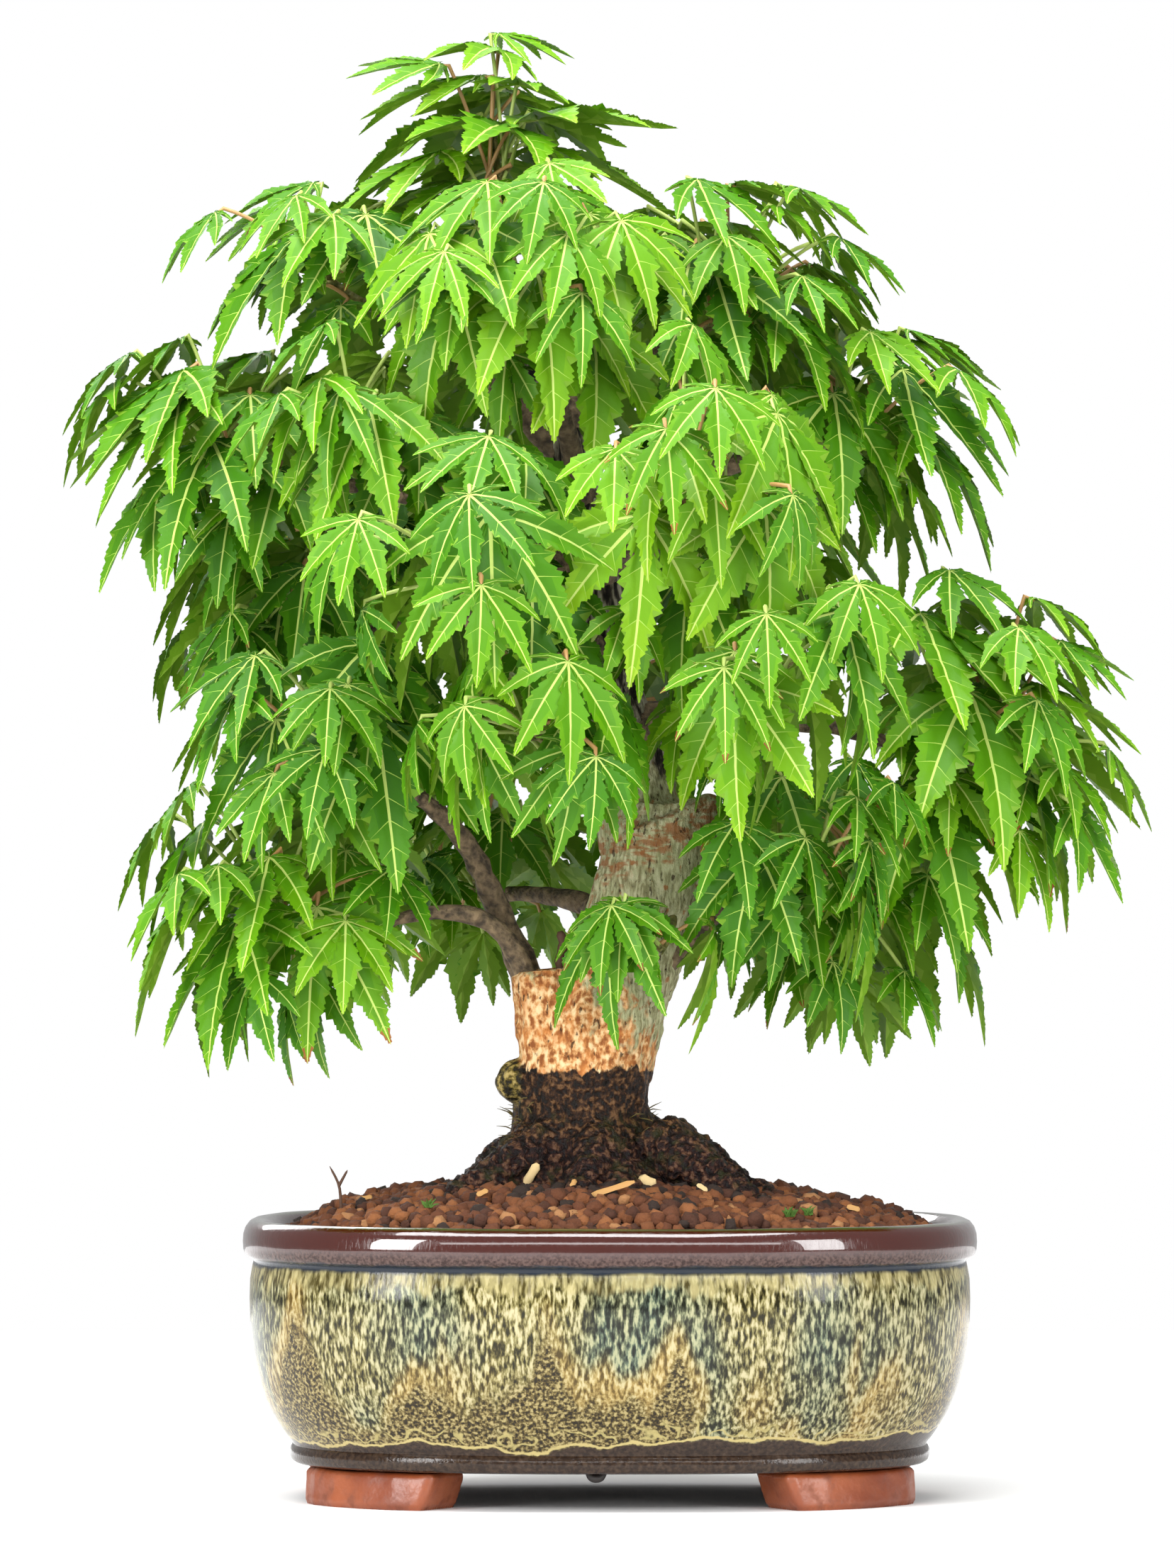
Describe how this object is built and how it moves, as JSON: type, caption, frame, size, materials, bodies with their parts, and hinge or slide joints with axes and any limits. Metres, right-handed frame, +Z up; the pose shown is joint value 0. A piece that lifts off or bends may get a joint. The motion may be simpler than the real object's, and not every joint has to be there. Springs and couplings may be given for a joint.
{
  "type": "japanese maple bonsai in a glazed oval pot",
  "caption": "Small potted maple tree with a thick tapering trunk, boughs and hanging palmate leaves, standing in a glazed oval pot on low feet.",
  "frame": {"origin": "on the ground under the middle of the pot, in the plane that the feet stand on", "axes": "+Z up; +X to the viewer's right in the picture, along the pot's long side; -Y towards the viewer, the front"},
  "size_m": [0.2757, 0.1953, 0.3687],
  "materials": {
    "glaze": "gloss",
    "clay": "satin",
    "soil": "matte",
    "bark": "matte",
    "leaf": "satin"
  },
  "bodies": {
    "root": {"pot_bowl": "glaze", "pot_foot_front_left": "clay", "pot_foot_front_right": "clay", "pot_foot_back_left": "clay", "pot_foot_back_right": "clay", "soil": "soil", "trunk": "bark", "bough_upper_left": "bark", "bough_upper_right": "bark", "bough_upper_front": "bark", "bough_upper_back": "bark", "bough_left": "bark", "bough_left_front": "bark", "bough_right": "bark", "bough_front_right": "bark", "bough_front_left": "bark", "bough_back_left": "bark", "bough_back_right": "bark", "bough_inner_left": "bark", "bough_middle_left": "bark", "bough_middle_front": "bark", "bough_middle_right": "bark", "bough_far_right": "bark", "bough_middle_back": "bark", "bough_low_left": "bark", "bough_low_back_left": "bark", "bough_low_right": "bark", "bough_low_far_right": "bark", "bough_low_back_right": "bark", "foliage_top": "leaf", "foliage_upper_left": "leaf", "foliage_upper_right": "leaf", "foliage_upper_front": "leaf", "foliage_upper_back": "leaf", "foliage_left": "leaf", "foliage_left_front": "leaf", "foliage_right": "leaf", "foliage_front_right": "leaf", "foliage_front_left": "leaf", "foliage_back_left": "leaf", "foliage_back_right": "leaf", "foliage_inner_left": "leaf", "foliage_middle_left": "leaf", "foliage_middle_front": "leaf", "foliage_middle_right": "leaf", "foliage_far_right": "leaf", "foliage_middle_back": "leaf", "foliage_low_left": "leaf", "foliage_low_back_left": "leaf", "foliage_low_right": "leaf", "foliage_low_far_right": "leaf", "foliage_low_back_right": "leaf", "foliage_trunk_front": "leaf"}
  },
  "joints": []
}
